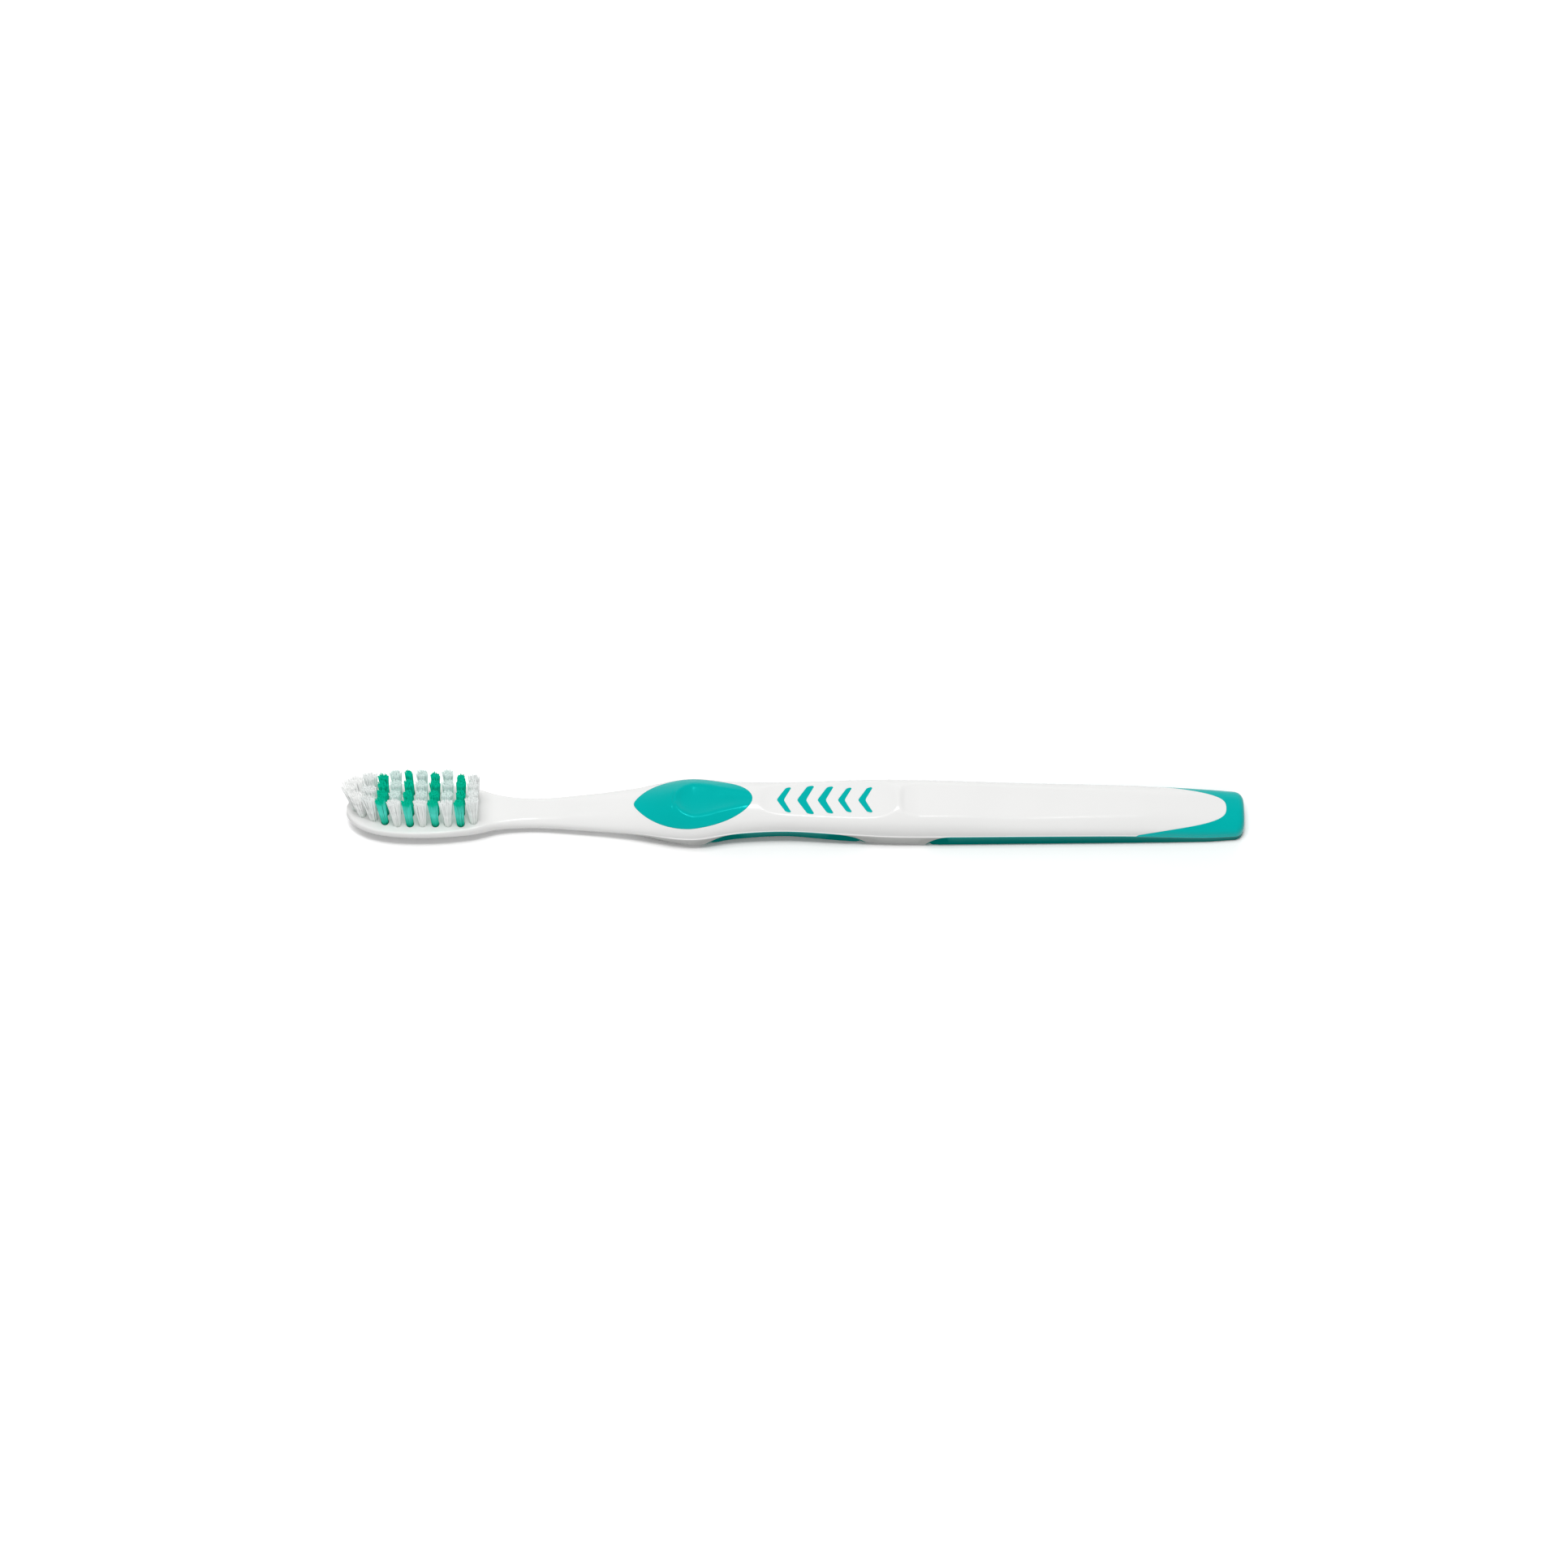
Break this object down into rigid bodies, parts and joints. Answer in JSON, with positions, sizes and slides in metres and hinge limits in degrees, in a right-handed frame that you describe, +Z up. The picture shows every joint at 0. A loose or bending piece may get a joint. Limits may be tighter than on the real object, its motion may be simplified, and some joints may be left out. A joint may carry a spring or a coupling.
{
  "type": "manual toothbrush",
  "caption": "Manual toothbrush with a white handle, soft teal thumb pad, chevrons and back grips, and a flat-trimmed oval head of white and green tufts.",
  "frame": {"origin": "under the middle of the whole brush, on the surface that it lies on", "axes": "+X from the head's tip towards the tail's end, +Y across the brush, +Z up, the way the bristles point"},
  "size_m": [0.19, 0.014, 0.0151],
  "materials": {
    "white_polypropylene": "glossy",
    "teal_rubber": "satin",
    "white_nylon": "translucent satin",
    "green_nylon": "satin",
    "brass_wire": "plain"
  },
  "bodies": {
    "root": {"chevron_1": "teal_rubber", "chevron_2": "teal_rubber", "chevron_3": "teal_rubber", "chevron_4": "teal_rubber", "chevron_5": "teal_rubber", "finger_grip": "teal_rubber", "green_tuft_10a": "green_nylon", "green_tuft_10b": "green_nylon", "green_tuft_10c": "green_nylon", "green_tuft_10d": "green_nylon", "green_tuft_4a": "green_nylon", "green_tuft_4b": "green_nylon", "green_tuft_4c": "green_nylon", "green_tuft_4d": "green_nylon", "green_tuft_6a": "green_nylon", "green_tuft_6b": "green_nylon", "green_tuft_6c": "green_nylon", "green_tuft_6d": "green_nylon", "green_tuft_8a": "green_nylon", "green_tuft_8b": "green_nylon", "green_tuft_8c": "green_nylon", "green_tuft_8d": "green_nylon", "handle_core": "white_polypropylene", "palm_grip": "teal_rubber", "thumb_pad": "teal_rubber", "tuft_anchors": "brass_wire", "white_tuft_11a": "white_nylon", "white_tuft_11b": "white_nylon", "white_tuft_11c": "white_nylon", "white_tuft_11d": "white_nylon", "white_tuft_1a": "white_nylon", "white_tuft_2a": "white_nylon", "white_tuft_2b": "white_nylon", "white_tuft_3a": "white_nylon", "white_tuft_3b": "white_nylon", "white_tuft_3c": "white_nylon", "white_tuft_5a": "white_nylon", "white_tuft_5b": "white_nylon", "white_tuft_5c": "white_nylon", "white_tuft_5d": "white_nylon", "white_tuft_7a": "white_nylon", "white_tuft_7b": "white_nylon", "white_tuft_7c": "white_nylon", "white_tuft_7d": "white_nylon", "white_tuft_9a": "white_nylon", "white_tuft_9b": "white_nylon", "white_tuft_9c": "white_nylon", "white_tuft_9d": "white_nylon"}
  },
  "joints": []
}
